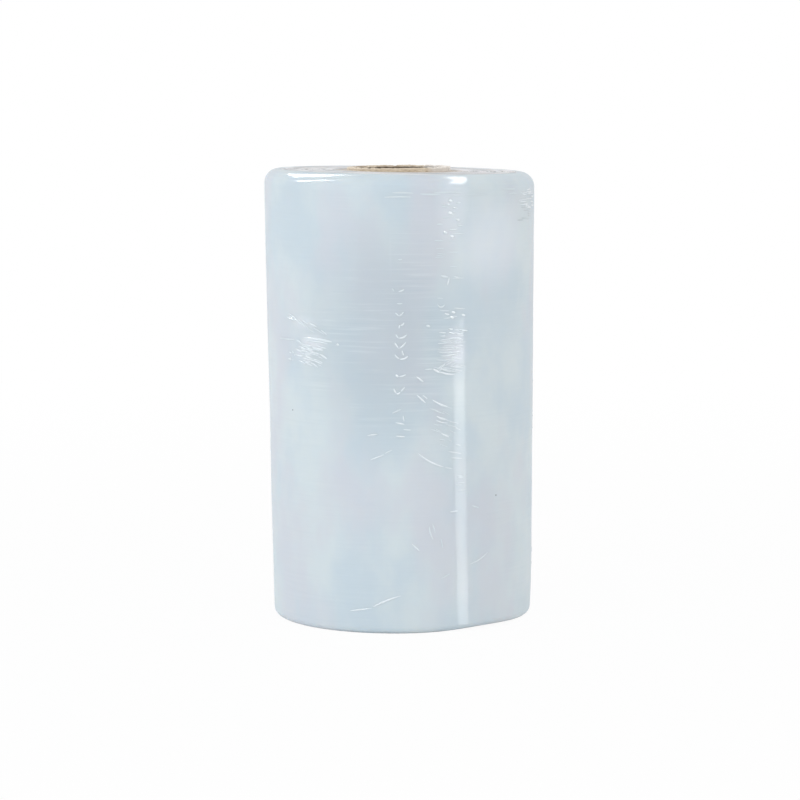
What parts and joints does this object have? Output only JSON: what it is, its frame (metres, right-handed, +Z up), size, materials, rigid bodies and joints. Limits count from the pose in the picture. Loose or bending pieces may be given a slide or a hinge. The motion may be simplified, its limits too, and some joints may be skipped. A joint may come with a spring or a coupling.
{
  "type": "sealing film roll",
  "caption": "Roll of clear polythene sealing film wound on a paper core, standing on its end, with soft rims, a slight taper and spiral turns on both ends.",
  "frame": {"origin": "middle of the lower end, where the core's axis meets the surface that the roll stands on", "axes": "+Z up along the core; +X to the right and +Y away as the roll is seen from the front"},
  "size_m": [0.151, 0.1513, 0.252],
  "materials": {
    "kraft_core": "unbleached kraft paperboard, wound and glued, with a cut end",
    "clear_film": "clear low density polythene film, wound tight, milky and slightly blue in depth, glossy"
  },
  "bodies": {
    "root": {"paper_core": "kraft_core", "film_roll": "clear_film"}
  },
  "joints": []
}
